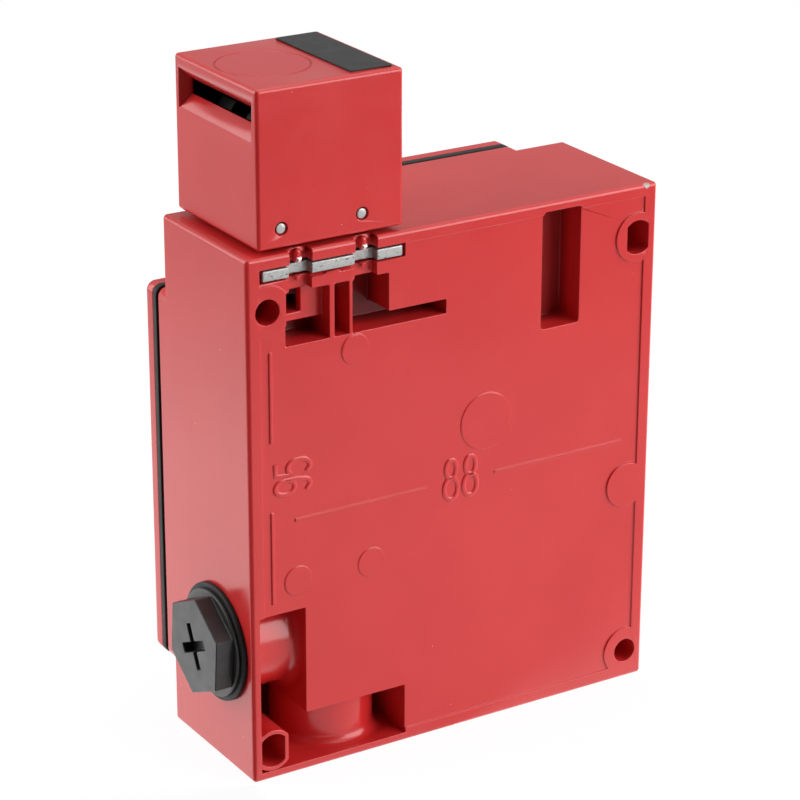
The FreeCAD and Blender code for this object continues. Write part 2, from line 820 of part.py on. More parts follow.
def slot_plug():
    """Push-in plug that closes the tongue slot that is not in use."""
    long = slot_half_length - plug_slack
    half = tongue_slot_height / 2 - plug_slack
    mouth = funnel_height / 2 + funnel_extra - plug_slack
    wide = funnel_length / 2 - plug_slack
    low = head_top - funnel_depth + plug_slack
    body = Part.makeLoft([frame_wire(lambda a, b: V(plug_x + b, head_y + a, low), long, half),
                          frame_wire(lambda a, b: V(plug_x + b, head_y + a, head_top), wide, mouth)],
                         True, True)
    lid = box(plug_x - mouth, plug_x + mouth, head_y - wide, head_y + wide, head_top, head_top + plug_proud)
    tongue = box(plug_x - half, plug_x + half, head_y - long, head_y + long, head_top - slot_wall, low)
    return join([body, lid, tongue])


# ---------------------------------------------------------------- coded wheel
def cam_axle():
    return rod_y(head_y - base_reach, head_y + base_reach, head_x, wheel_z, axle_r)


def cam_wheel():
    """Hub with two code discs. Each disc has a notch for either tongue slot."""
    reach = wheel_half_width
    hub = rod_y(head_y - reach, head_y + reach, head_x, wheel_z, hub_r)
    parts = [hub]
    for y in (head_y - reach, head_y + reach - code_disc_width):
        parts.append(rod_y(y, y + code_disc_width, head_x, wheel_z, wheel_r))
    body = join(parts)
    cuts = [rod_y(head_y - reach - 1, head_y + reach + 1, head_x, wheel_z, axle_r + running_clearance)]
    for angle in notch_angles:
        notch = box(head_x - code_notch / 2, head_x + code_notch / 2, head_y - reach - 1, head_y + reach + 1,
                    wheel_z + wheel_r - notch_depth, wheel_z + wheel_r + 2)
        notch.rotate(V(head_x, head_y, wheel_z), V(0, 1, 0), angle)
        cuts.append(notch)
    return body.cut(cuts)


def cam_radius(angle):
    """Largest radius at this angle that clears the plunger tip at every turn of the wheel.

    The angle runs from the bottom towards the side that falls. The tip is a flat with a cone round it.
    """
    slope = tip_height / (plunger_r - tip_r)
    best = cam_high
    for step in range(cam_steps + 1):
        height = cam_high - cam_lift * step / cam_steps
        lean = math.radians(abs(angle - cam_turn * step / cam_steps))
        if lean > math.radians(cam_reach):
            continue
        reach = height / math.cos(lean)
        if reach * math.sin(lean) > tip_r:
            reach = (height - slope * tip_r) / (math.cos(lean) - slope * math.sin(lean))
        if 0 < reach * math.sin(lean) <= plunger_r + play or lean == 0:
            best = min(best, reach)
    return best


def cam_disc():
    """Spiral cam on the hub that lets the plunger rise evenly as the wheel turns."""
    first = -cam_before
    last = cam_turn + cam_after
    falling = []
    for step in range(cam_steps + 1):
        angle = first + (last - first) * step / cam_steps
        turn = math.radians(-90 - angle)
        radius = cam_radius(angle)
        falling.append(V(head_x + radius * math.cos(turn), 0, wheel_z + radius * math.sin(turn)))
    spiral = Part.BSplineCurve()
    spiral.interpolate(falling)
    end = math.radians(-90 - last - cam_return)
    step_top = V(head_x + cam_high * math.cos(end), 0, wheel_z + cam_high * math.sin(end))
    far = V(head_x, 0, wheel_z + cam_high)
    edges = [spiral.toShape(), Part.LineSegment(falling[-1], step_top).toShape(),
             Part.Arc(step_top, far, falling[0]).toShape()]
    profile = Part.Face(Part.Wire(edges))
    profile.translate(V(0, head_y - cam_width / 2, 0))
    disc = profile.extrude(V(0, cam_width, 0))
    return disc.cut(rod_y(head_y - cam_width, head_y + cam_width, head_x, wheel_z, hub_r))


def head_plunger():
    shoulder = plunger_top - tip_height
    stem = rod_z(slide_top + play, shoulder, head_x, head_y, plunger_r)
    tip = Part.makeCone(plunger_r, tip_r, tip_height, V(head_x, head_y, shoulder), V(0, 0, 1))
    return join([stem, tip])


# ---------------------------------------------------------------- locking slide and contacts
def lock_slide():
    stem = rod_z(carriage_top, slide_top, head_x, head_y, slide_r)
    ring = rod_z(ring_top - ring_thickness, ring_top - ring_bevel_height, head_x, head_y, ring_r)
    bevel_z = ring_top - ring_bevel_height
    lead = Part.makeCone(ring_r, ring_r - ring_bevel, ring_bevel_height, V(head_x, head_y, bevel_z),
                         V(0, 0, 1))
    return join([stem, ring, lead])


def contact_carriage():
    z1 = carriage_top
    body = box(head_x - carriage_width / 2, head_x + carriage_width / 2, head_y - carriage_depth / 2,
               head_y + carriage_depth / 2, z1 - carriage_height, z1)
    cuts = []
    for y in pole_places():
        cuts.append(box(head_x - carriage_width, head_x + carriage_width, y - bridge_width / 2,
                        y + bridge_width / 2, bridge_z - bridge_thickness / 2,
                        bridge_z + bridge_thickness / 2))
    return body.cut(cuts)


def pole_places():
    return [head_y - pole_spacing / 2, head_y + pole_spacing / 2]


def contact_tip_places():
    reach = bridge_length / 2 - tip_pad_inset
    return (head_x - reach, head_x + reach)


def contact_bridges():
    bridges = []
    for y in pole_places():
        bar = box(head_x - bridge_length / 2, head_x + bridge_length / 2, y - bridge_width / 2,
                  y + bridge_width / 2, bridge_z - bridge_thickness / 2, bridge_z + bridge_thickness / 2)
        tips = [rod_z(bridge_z, bridge_z + bridge_thickness / 2 + tip_pad_height, x, y, tip_pad_r)
                for x in contact_tip_places()]
        bridges.append(join([bar] + tips))
    return Part.makeCompound(bridges)


def contact_block():
    x0 = head_x - module_width / 2
    x1 = head_x + module_width / 2
    y0 = head_y - module_depth / 2
    y1 = head_y + module_depth / 2
    body = box(x0, x1, y0, y1, module_floor, module_top)
    cuts = [box(x0 + module_wall, x1 - module_wall, y0 - 1, y1 - module_back, module_floor + module_plate,
                module_top - module_plate)]
    half = bridge_width / 2
    cuts.append(rod_z(module_top - module_plate - 1, module_top + 1, head_x, head_y, slide_r + play))
    for y in pole_places():
        cuts.append(box(x0 - 1, x1 + 1, y - half, y + half, strip_z, strip_z + contact_strip))
        for x in contact_screw_places():
            cuts.append(rod_z(strip_z, module_top + 1, x, y, small_thread_r + small_screw_play))
    return body.cut(cuts)


def contact_screw_places():
    reach = module_width / 2 - contact_screw_inset
    return (head_x - reach, head_x + reach)


def fixed_contacts():
    strips = []
    half = bridge_width / 2
    inner = bridge_length / 2 - strip_overlap
    outer = module_width / 2 - strip_end
    tip_left, tip_right = contact_tip_places()
    for y in pole_places():
        for x0, x1, tip_x in ((head_x - outer, head_x - inner, tip_left),
                              (head_x + inner, head_x + outer, tip_right)):
            strip = box(x0, x1, y - half, y + half, strip_z, strip_z + contact_strip)
            tip = rod_z(strip_z - tip_pad_height, strip_z, tip_x, y, tip_pad_r)
            strips.append(join([strip, tip]))
    return Part.makeCompound(strips)


def screw_z(x, y, z0, z1, head_r, head_h, shank_r):
    """Slotted screw with its head on z1 and its shank down to z0."""
    body = join([rod_z(z0, z1, x, y, shank_r), rod_z(z1, z1 + head_h, x, y, head_r)])
    half = screw_slot_width / 2
    z = z1 + head_h
    return body.cut(box(x - head_r - 1, x + head_r + 1, y - half, y + half, z - screw_slot_depth, z + 1))


def screw_y(x, z, y_seat, length, head_r, head_h, shank_r):
    """Slotted screw driven from the front: the head lies on y_seat."""
    body = join([rod_y(y_seat, y_seat + length, x, z, shank_r), rod_y(y_seat - head_h, y_seat, x, z, head_r)])
    half = screw_slot_width / 2
    y = y_seat - head_h
    return body.cut(box(x - head_r - 1, x + head_r + 1, y - 1, y + screw_slot_depth, z - half, z + half))


def contact_screws():
    screws = []
    for y in pole_places():
        for x in contact_screw_places():
            screws.append(screw_z(x, y, strip_z + contact_strip, module_top, contact_screw_head_r,
                                  small_head_height, small_thread_r))
    return Part.makeCompound(screws)


def slide_spring():
    return spring(head_x, head_y, module_floor + module_plate, carriage_top - carriage_height - play,
                  spring_r, spring_wire, spring_turns)


# ---------------------------------------------------------------- solenoid
def solenoid_frame():
    """Bent steel yoke: two end plates, the strip under the coil, and two feet."""
    y0 = head_y - frame_depth / 2
    y1 = head_y + frame_depth / 2
    x0 = coil_x - frame_plate
    x1 = coil_x + coil_length
    x2 = x1 + frame_plate
    z0 = bolt_z - coil_r - play - frame_plate
    z1 = bolt_z + coil_r
    parts = [box(x0, coil_x, y0, y1, z0, z1), box(x1, x2, y0, y1, z0, z1),
             box(x0, x2, y0 + frame_strip_inset, y1 - frame_strip_inset, z0, z0 + frame_plate)]
    half = frame_foot_width / 2
    for foot_x0, foot_x1 in ((x0 - frame_foot, x0), (x2, x2 + frame_foot)):
        parts.append(box(foot_x0, foot_x1, y1 - frame_foot_thickness, y1, bolt_z - half, bolt_z + half))
    cuts = [rod_x(x1 - 1, x2 + 1, head_y, bolt_z, core_r + play)]
    cuts.append(rod_x(x0 - 1, coil_x + 1, head_y, bolt_z, rivet_r))
    for x in frame_screw_places():
        cuts.append(rod_y(y1 - frame_foot_thickness - 1, y1 + 1, x, bolt_z, frame_screw_r + frame_screw_play))
    return join(parts).cut(cuts)


def frame_screw_places():
    return (coil_x - frame_plate - frame_screw_place,
            coil_x + coil_length + frame_plate + frame_screw_place)


def coil_bobbin():
    x0 = coil_x
    x1 = coil_x + coil_length
    tube = rod_x(x0, x1, head_y, bolt_z, core_r + play + bobbin_wall)
    flanges = [rod_x(x0, x0 + bobbin_cheek, head_y, bolt_z, coil_r),
               rod_x(x1 - bobbin_cheek, x1, head_y, bolt_z, coil_r)]
    return join([tube] + flanges).cut(rod_x(x0 - 1, x1 + 1, head_y, bolt_z, core_r + play))


def coil_winding():
    x0 = coil_x + bobbin_cheek
    x1 = coil_x + coil_length - bobbin_cheek
    return rod_x(x0, x1, head_y, bolt_z, coil_r - winding_inset).cut(
        rod_x(x0 - 1, x1 + 1, head_y, bolt_z, core_r + play + bobbin_wall))


def pole_piece():
    stub = rod_x(coil_x, coil_x + pole_length, head_y, bolt_z, core_r)
    rivet = rod_x(coil_x - frame_plate - rivet_head, coil_x, head_y, bolt_z, rivet_r)
    end = coil_x + pole_length
    bore = rod_x(end - pole_bore_depth, end + 1, head_y, bolt_z, core_bore_r)
    return join([stub, rivet]).cut(bore)


def solenoid_core():
    core = rod_x(core_back, core_front, head_y, bolt_z, core_r)
    bore = rod_x(core_back - 1, core_back + core_bore_depth, head_y, bolt_z, core_bore_r)
    thread = rod_x(core_front - stud_length, core_front + 1, head_y, bolt_z, stud_r)
    return core.cut([bore, thread])


def core_spring():
    coil = spring(0, 0, 0, pole_bore_depth + core_bore_depth, core_spring_r, spring_wire, core_spring_turns)
    coil.rotate(V(0, 0, 0), V(0, 1, 0), 90)
    coil.translate(V(coil_x + pole_length - pole_bore_depth, head_y, bolt_z))
    return coil


def locking_bolt():
    stud = rod_x(core_front - stud_length, core_front, head_y, bolt_z, stud_r)
    blade_x = blade_tip - blade_length
    stem = rod_x(core_front, blade_x + blade_root, head_y, bolt_z, bolt_r)
    collar_x = blade_tip - collar_back
    collar = rod_x(collar_x, collar_x + collar_width, head_y, bolt_z, collar_r)
    half = bolt_blade_width / 2
    blade = box(blade_x, blade_tip, head_y - half, head_y + half, bolt_z - bolt_blade / 2,
                bolt_z + bolt_blade / 2)
    return join([stud, stem, collar, blade])


def frame_screws():
    seat = head_y + frame_depth / 2 - frame_foot_thickness
    return Part.makeCompound([screw_y(x, bolt_z, seat, frame_screw_length, frame_screw_head_r,
                                      frame_screw_head_height, frame_screw_r) for x in frame_screw_places()])


# ---------------------------------------------------------------- key release
def lock_barrel():
    end = step_front + barrel_length
    flange = rod_y(front + barrel_sink, front + key_recess, key_x, key_z, barrel_flange_r)
    tube = rod_y(front + key_recess, end, key_x, key_z, barrel_r - barrel_fit)
    return join([flange, tube]).cut(rod_y(front - 1, end + 1, key_x, key_z, rotor_r + running_clearance))


def lock_nut():
    y0 = front + cover_skin
    points = []
    for step in range(7):
        angle = math.radians(60 * step)
        points.append(V(key_x + nut_corner * math.cos(angle), y0, key_z + nut_corner * math.sin(angle)))
    nut = Part.Face(Part.makePolygon(points)).extrude(V(0, nut_thickness, 0))
    return nut.cut(rod_y(y0 - 1, y0 + nut_thickness + 1, key_x, key_z, barrel_r))


def lock_rotor():
    end = step_front + barrel_length + rotor_tail
    rotor = rod_y(front + rotor_sink, end, key_x, key_z, rotor_r)
    width = keyway_width / 2
    height = keyway_height / 2
    keyway = box(key_x - width, key_x + width, front - 1, front + keyway_depth, key_z - height,
                 key_z + height)
    pin = rod_y(end, head_y + key_pin_reach, key_x, key_z + key_pin_offset, key_pin_r)
    return join([rotor.cut(keyway), pin])


# ---------------------------------------------------------------- lamps
def lamp_lenses():
    lenses = []
    for x in lamp_x:
        seat = front + cover_skin
        end = seat + lamp_flange_thickness
        stem = rounded(rod_y(front, end, x, lamp_z, lamp_r), lamp_round, lambda p: p.y < seat)
        lenses.append(join([stem, rod_y(seat, end, x, lamp_z, lamp_r + lamp_flange)]))
    return lenses


def lamp_board():
    x0 = min(lamp_x) - board_side
    x1 = max(lamp_x) + board_side
    return box(x0, x1, board_front, board_front + board_thickness, lamp_z - board_drop, lamp_z + board_side)


def lamp_diodes():
    y0 = front + cover_skin + lamp_flange_thickness + diode_gap
    return Part.makeCompound([rod_y(y0, board_front, x, lamp_z, diode_r) for x in lamp_x])


# ---------------------------------------------------------------- terminals
def terminal_place(pole):
    return terminal_x + pole_pitch * (pole + 0.5)


def terminal_block():
    y1 = terminal_back
    y0 = y1 - terminal_depth
    z1 = terminal_floor + terminal_height
    body = box(terminal_x, terminal_x + pole_pitch * pole_count, y0, y1, terminal_floor, z1)
    cuts = []
    for pole in range(pole_count):
        x = terminal_place(pole)
        way = y0 + clamp_way_front
        cuts.append(box(x - clamp_way_width / 2, x + clamp_way_width / 2, way, way + clamp_way_depth,
                        terminal_floor - 1, z1 + 1))
        cuts.append(rod_y(y0 - 1, way + 1, x, terminal_floor + terminal_height / 2, screw_way_r))
    return body.cut(cuts)


def terminal_clamps():
    clamps = []
    y0 = terminal_back - terminal_depth + clamp_way_front + clamp_play
    y1 = y0 + clamp_way_depth - 2 * clamp_play
    half = clamp_way_width / 2 - clamp_play
    z = terminal_floor + terminal_height / 2
    for pole in range(pole_count):
        x = terminal_place(pole)
        sleeve = box(x - half, x + half, y0, y1, z - clamp_height / 2, z + clamp_height / 2)
        wire_way = box(x - half + clamp_wall, x + half - clamp_wall, y0 + clamp_floor, y1 - clamp_roof,
                       z - clamp_height, z + clamp_height)
        thread = rod_y(y0 - 1, y0 + clamp_floor + 1, x, z, small_thread_r + small_screw_play)
        clamps.append(sleeve.cut([wire_way, thread]))
    return Part.makeCompound(clamps)


def terminal_screws():
    y0 = terminal_back - terminal_depth
    screws = []
    for pole in range(pole_count):
        screws.append(screw_y(terminal_place(pole), terminal_floor + terminal_height / 2,
                              y0 + terminal_screw_sink, terminal_screw_length, terminal_screw_head_r,
                              small_head_height, small_thread_r))
    return Part.makeCompound(screws)


def earth_screw():
    return screw_y(earth_x, earth_z, earth_seat, earth_screw_length, earth_head_r, earth_head_height,
                   earth_screw_r)


def nodes():
    lenses = lamp_lenses()
    return {
        "housing": housing(), "cover_gasket": gasket(), "cover": cover(), "cover_screws": cover_screws(),
        "blanking_plug": blanking_plug(), "plug_seal": plug_seal(), "retaining_fork": retaining_fork(),
        "head_housing": head_housing(), "head_base": head_base(), "head_pins": head_pins(),
        "head_seal": head_seal(), "slot_plug": slot_plug(), "cam_axle": cam_axle(), "cam_wheel": cam_wheel(),
        "cam_disc": cam_disc(), "head_plunger": head_plunger(), "lock_slide": lock_slide(),
        "contact_carriage": contact_carriage(), "contact_bridges": contact_bridges(),
        "contact_block": contact_block(), "fixed_contacts": fixed_contacts(),
        "contact_screws": contact_screws(), "slide_spring": slide_spring(),
        "solenoid_frame": solenoid_frame(), "coil_bobbin": coil_bobbin(), "coil_winding": coil_winding(),
        "pole_piece": pole_piece(), "solenoid_core": solenoid_core(), "core_spring": core_spring(),
        "locking_bolt": locking_bolt(), "frame_screws": frame_screws(), "lock_barrel": lock_barrel(),
        "lock_nut": lock_nut(), "lock_rotor": lock_rotor(), "lamp_lens_amber": lenses[0],
        "lamp_lens_green": lenses[1], "lamp_board": lamp_board(), "lamp_diodes": lamp_diodes(),
        "terminal_block": terminal_block(), "terminal_clamps": terminal_clamps(),
        "terminal_screws": terminal_screws(), "earth_screw": earth_screw(),
    }


os.makedirs("parts", exist_ok=True)
for name, shape in nodes().items():
    shape.exportStep("parts/" + name + ".step")
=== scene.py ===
import json
import math

import bmesh
import bpy
from mathutils import Matrix, Vector
from mathutils.bvhtree import BVHTree


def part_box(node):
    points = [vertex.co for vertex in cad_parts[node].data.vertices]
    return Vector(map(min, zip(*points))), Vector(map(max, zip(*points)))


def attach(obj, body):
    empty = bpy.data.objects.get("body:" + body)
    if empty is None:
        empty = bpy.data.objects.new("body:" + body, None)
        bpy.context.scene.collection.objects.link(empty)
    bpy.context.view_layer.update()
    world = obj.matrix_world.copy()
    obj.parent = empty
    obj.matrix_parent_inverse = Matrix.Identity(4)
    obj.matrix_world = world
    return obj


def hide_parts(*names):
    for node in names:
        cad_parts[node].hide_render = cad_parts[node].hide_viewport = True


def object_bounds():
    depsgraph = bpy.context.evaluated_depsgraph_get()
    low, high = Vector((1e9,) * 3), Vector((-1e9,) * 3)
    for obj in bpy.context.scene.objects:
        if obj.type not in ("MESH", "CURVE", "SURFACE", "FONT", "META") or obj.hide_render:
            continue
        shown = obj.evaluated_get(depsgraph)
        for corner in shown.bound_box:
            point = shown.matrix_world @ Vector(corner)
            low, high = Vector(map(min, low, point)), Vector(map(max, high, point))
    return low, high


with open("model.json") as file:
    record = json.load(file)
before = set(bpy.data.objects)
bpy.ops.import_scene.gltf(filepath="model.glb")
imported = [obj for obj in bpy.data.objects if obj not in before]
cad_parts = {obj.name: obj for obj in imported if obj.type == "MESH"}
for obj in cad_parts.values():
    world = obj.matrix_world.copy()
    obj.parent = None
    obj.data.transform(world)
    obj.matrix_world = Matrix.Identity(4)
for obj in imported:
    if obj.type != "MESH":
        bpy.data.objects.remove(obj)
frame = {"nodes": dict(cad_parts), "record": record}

cad_box = [list(corner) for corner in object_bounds()]
MM = 0.001

# ---- Camera
# It stands behind and above the device, on the side of the cable entries, and looks at the back
# of the housing and at the side with the blanking plug.
azimuth = math.radians(148.106)
elevation = math.radians(21.589)
roll = math.radians(0.155)
right = Vector((math.cos(azimuth), math.sin(azimuth), 0.0))
back = Vector((math.sin(azimuth) * math.cos(elevation), -math.cos(azimuth) * math.cos(elevation),
               math.sin(elevation)))
up = back.cross(right)
right, up = (math.cos(roll) * right + math.sin(roll) * up,
             -math.sin(roll) * right + math.cos(roll) * up)
eye_across = -11.75 * MM
eye_height = 18.95 * MM
eye_distance = 616.2 * MM
eye = eye_across * right + eye_height * up + eye_distance * back
camera = bpy.data.objects.new("camera", bpy.data.cameras.new("camera"))
camera.data.sensor_width = 36.0
camera.data.lens = 134.94
camera.matrix_world = Matrix.Translation(eye) @ Matrix((right, up, back)).transposed().to_4x4()
bpy.context.collection.objects.link(camera)
bpy.context.scene.camera = camera
bpy.context.scene.view_settings.view_transform = "Standard"

# ---- Table and light
# A white table without an edge, and three soft boxes: one at each side of the device and one above.
# The rear upright corner faces the dark side of the room, so both walls beside it stay deep red.
dark_heading = (0.848, 0.530, 0.0)
dark_share = 0.07


def new_material(name):
    """Material with only a Principled shader and its output, ready for more nodes."""
    material = bpy.data.materials.new(name)
    material.use_nodes = True
    tree = material.node_tree
    tree.nodes.clear()
    shader = tree.nodes.new("ShaderNodeBsdfPrincipled")
    output = tree.nodes.new("ShaderNodeOutputMaterial")
    tree.links.new(shader.outputs["BSDF"], output.inputs["Surface"])
    return material, tree, shader, output


def wire(tree, *pairs):
    """Link each pair of an output and an input."""
    for source, target in pairs:
        tree.links.new(source, target)


def maths(tree, operation, first, second):
    """Math node; each input is a socket or a number."""
    node = tree.nodes.new("ShaderNodeMath")
    node.operation = operation
    for place, value in enumerate((first, second)):
        if isinstance(value, float):
            node.inputs[place].default_value = value
        else:
            tree.links.new(value, node.inputs[place])
    return node.outputs[0]


def seen_directly(tree):
    """1 for camera, mirror and see-through rays, 0 for the rest."""
    path = tree.nodes.new("ShaderNodeLightPath")
    mirror = maths(tree, "MAXIMUM", path.outputs["Is Glossy Ray"], path.outputs["Is Transmission Ray"])
    return maths(tree, "MAXIMUM", path.outputs["Is Camera Ray"], mirror)


def for_mirrors(tree, plain, mirrored):
    """The mirrored value for mirror rays and the plain number for all others."""
    path = tree.nodes.new("ShaderNodeLightPath")
    change = maths(tree, "MULTIPLY", maths(tree, "SUBTRACT", mirrored, plain),
                   path.outputs["Is Glossy Ray"])
    return maths(tree, "ADD", change, plain)


def object_place(tree, centre=(0, 0, 0)):
    """Object coordinates as seen from a point."""
    move = tree.nodes.new("ShaderNodeVectorMath")
    move.operation = "SUBTRACT"
    move.inputs[1].default_value = centre
    tree.links.new(tree.nodes.new("ShaderNodeTexCoord").outputs["Object"], move.inputs[0])
    return move.outputs[0]


def flat_part(tree, direction, along):
    """Cosine between the level part of a direction and a level line."""
    flat = tree.nodes.new("ShaderNodeVectorMath")
    flat.operation = "MULTIPLY"
    flat.inputs[1].default_value = (1, 1, 0)
    unit = tree.nodes.new("ShaderNodeVectorMath")
    unit.operation = "NORMALIZE"
    across = tree.nodes.new("ShaderNodeVectorMath")
    across.operation = "DOT_PRODUCT"
    across.inputs[1].default_value = along
    wire(tree, (direction, flat.inputs[0]), (flat.outputs[0], unit.inputs[0]),
         (unit.outputs[0], across.inputs[0]))
    return across.outputs["Value"]


def stretched(tree, value, low, high, to_low=0.0, to_high=1.0):
    """The value rescaled so that low becomes to_low and high becomes to_high, and held there."""
    reach = tree.nodes.new("ShaderNodeMapRange")
    for socket, number in (("From Min", low), ("From Max", high),
                           ("To Min", to_low), ("To Max", to_high)):
        reach.inputs[socket].default_value = number
    tree.links.new(value, reach.inputs["Value"])
    return reach.outputs["Result"]


def lit_side(tree, direction):
    """The dark share on the side of the room that the corner faces, and 1 at the flanks."""
    facing = flat_part(tree, direction, dark_heading)
    return stretched(tree, facing, 0.42, 0.80, 1.0, dark_share)


table_z = cad_box[0][2]
table_reach = 4.0
table_gap = 0.05 * MM
bm = bmesh.new()
bmesh.ops.create_grid(bm, x_segments=1, y_segments=1, size=table_reach)
bmesh.ops.translate(bm, verts=bm.verts, vec=(0, 0, table_z - table_gap))
table_mesh = bpy.data.meshes.new("table")
bm.to_mesh(table_mesh)
bm.free()
table = bpy.data.objects.new("table", table_mesh)
bpy.context.collection.objects.link(table)
table_paper, tree, shader, output = new_material("table_paper")
shader.inputs["Roughness"].default_value = 0.9
plug_reach = 5.5 * MM
rear_corner = (cad_box[1][0] - plug_reach, cad_box[1][1], 0)
corner_side = lit_side(tree, object_place(tree, rear_corner))
# Painted shade: the paper is darker on the side of the room that the rear corner faces, so it sends less
# bounce light onto the housing's corner.
paper_in_painted_shade, light_paper = 0.30, 0.86
wire(tree, (stretched(tree, corner_side, dark_share, 1.0, paper_in_painted_shade, light_paper),
            shader.inputs["Base Color"]))
glow = tree.nodes.new("ShaderNodeEmission")
distance = tree.nodes.new("ShaderNodeVectorMath")
distance.operation = "LENGTH"
tree.links.new(object_place(tree), distance.inputs[0])
# Painted reflection: in mirror rays the paper glows. The glow is strongest near the device, at its flank
# and on its far side, and weak on the dark side, so the housing's faces show painted reflections of it.
near = stretched(tree, distance.outputs["Value"], 0.20, 0.36, 1.15, 0.25)
flank_heading = (0.53, -0.85, 0.0)
far_heading = (-0.85, -0.53, 0.0)
flank = stretched(tree, flat_part(tree, object_place(tree), flank_heading), 0.0, 0.7, 0.0, 0.65)
far_side = stretched(tree, flat_part(tree, object_place(tree), far_heading), 0.55, 0.95, 0.0, 1.6)
all_sides = maths(tree, "ADD", maths(tree, "ADD", near, flank), far_side)
lit = maths(tree, "MULTIPLY", all_sides, corner_side)
paper_white = 1.03
glow_share = 0.92
wire(tree, (for_mirrors(tree, paper_white, lit), glow.inputs["Strength"]))
blend = tree.nodes.new("ShaderNodeMixShader")
wire(tree, (maths(tree, "MULTIPLY", glow_share, seen_directly(tree)), blend.inputs[0]),
     (shader.outputs["BSDF"], blend.inputs[1]), (glow.outputs["Emission"], blend.inputs[2]),
     (blend.outputs["Shader"], output.inputs["Surface"]))
table_mesh.materials.append(table_paper)

world = bpy.data.worlds.new("studio")
bpy.context.scene.world = world
world.use_nodes = True
tree = world.node_tree
tree.nodes.clear()
place = tree.nodes.new("ShaderNodeTexCoord")
fill_level = 0.24
fill = tree.nodes.new("ShaderNodeBackground")
filled_side = lit_side(tree, place.outputs["Generated"])
wire(tree, (maths(tree, "MULTIPLY", fill_level, filled_side), fill.inputs["Strength"]))
fill.inputs["Color"].default_value = (1, 1, 1, 1)
backdrop = tree.nodes.new("ShaderNodeBackground")
backdrop.inputs["Color"].default_value = (1, 1, 1, 1)
parts = tree.nodes.new("ShaderNodeSeparateXYZ")
tree.links.new(place.outputs["Generated"], parts.inputs[0])
ceiling = stretched(tree, parts.outputs[2], 0.42, 0.80, 0.45, 1.5)
room = maths(tree, "MULTIPLY", ceiling, lit_side(tree, place.outputs["Generated"]))
wire(tree, (for_mirrors(tree, 1.0, room), backdrop.inputs["Strength"]))
choice = tree.nodes.new("ShaderNodeMixShader")
world_out = tree.nodes.new("ShaderNodeOutputWorld")
wire(tree, (seen_directly(tree), choice.inputs[0]), (fill.outputs["Background"], choice.inputs[1]),
     (backdrop.outputs["Background"], choice.inputs[2]),
     (choice.outputs["Shader"], world_out.inputs["Surface"]))


def soft_box(name, place, size, watts):
    """Square area light that looks at the device."""
    light = bpy.data.lights.new(name, "AREA")
    light.size = size
    light.energy = watts
    lamp = bpy.data.objects.new(name, light)
    lamp.location = place
    lamp.rotation_euler = Vector(place).to_track_quat("Z", "Y").to_euler()
    bpy.context.collection.objects.link(lamp)


soft_box("side_box", (0.80, -0.52, 0.30), 0.95, 9.4)
soft_box("rear_box", (-0.66, 0.68, 0.24), 0.95, 13.2)
soft_box("top_box", (0.0, -0.05, 0.90), 0.8, 3.3)

# ---- Housing
# A zinc die casting with satin red powder paint. The paint rounds every edge of the casting a
# little, has a fine orange peel, and shows a few dust specks and one small chip at the top.
# Painted shade darkens it nearly black in the deep pockets behind the rear face.


def noise(tree, scale, low, high, detail=2.0, roughness=0.5, squeeze=None):
    """Noise on object coordinates, stretched so that low is 0 and high is 1."""
    cloud = tree.nodes.new("ShaderNodeTexNoise")
    cloud.inputs["Scale"].default_value = scale
    cloud.inputs["Detail"].default_value = detail
    cloud.inputs["Roughness"].default_value = roughness
    place = object_place(tree)
    if squeeze:
        mapping = tree.nodes.new("ShaderNodeMapping")
        mapping.inputs["Scale"].default_value = squeeze
        tree.links.new(place, mapping.inputs["Vector"])
        place = mapping.outputs["Vector"]
    tree.links.new(place, cloud.inputs["Vector"])
    return stretched(tree, cloud.outputs["Fac"], low, high)


def tint(tree, factor, low, high):
    """Colour that runs from low to high with the factor; each is a colour or a socket."""
    mix = tree.nodes.new("ShaderNodeMix")
    mix.data_type = "RGBA"
    tree.links.new(factor, mix.inputs["Factor"])
    for socket, value in ((6, low), (7, high)):
        if isinstance(value, tuple):
            mix.inputs[socket].default_value = value + (1.0,)
        else:
            tree.links.new(value, mix.inputs[socket])
    return mix.outputs[2]


def relief(tree, shader, height, depth):
    """Bump of the given depth in metres on the shader's normal."""
    bump = tree.nodes.new("ShaderNodeBump")
    bump.inputs["Distance"].default_value = depth
    wire(tree, (height, bump.inputs["Height"]), (bump.outputs["Normal"], shader.inputs["Normal"]))


def specks(tree, spacing, radius, share):
    """1 inside small round grains, one in some of the cells that are a spacing apart."""
    cells = tree.nodes.new("ShaderNodeTexVoronoi")
    cells.inputs["Scale"].default_value = 1.0 / spacing
    tree.links.new(object_place(tree), cells.inputs["Vector"])
    inside = stretched(tree, cells.outputs["Distance"], radius / spacing, 0.6 * radius / spacing)
    parts = tree.nodes.new("ShaderNodeSeparateColor")
    tree.links.new(cells.outputs["Color"], parts.inputs["Color"])
    return maths(tree, "MULTIPLY", inside, maths(tree, "LESS_THAN", parts.outputs[0], share))


def inside(tree, low, high):
    """1 inside a box in object coordinates."""
    low, high = Vector(low), Vector(high)
    nodes = [tree.nodes.new("ShaderNodeVectorMath") for _ in range(2)]
    nodes[0].operation = "ABSOLUTE"
    nodes[1].operation = "SUBTRACT"
    nodes[1].inputs[1].default_value = (high - low) / 2
    parts = tree.nodes.new("ShaderNodeSeparateXYZ")
    wire(tree, (object_place(tree, (low + high) / 2), nodes[0].inputs[0]),
         (nodes[0].outputs[0], nodes[1].inputs[0]), (nodes[1].outputs[0], parts.inputs[0]))
    largest = maths(tree, "MAXIMUM", maths(tree, "MAXIMUM", parts.outputs[0], parts.outputs[1]),
                    parts.outputs[2])
    return maths(tree, "LESS_THAN", largest, 0.0)


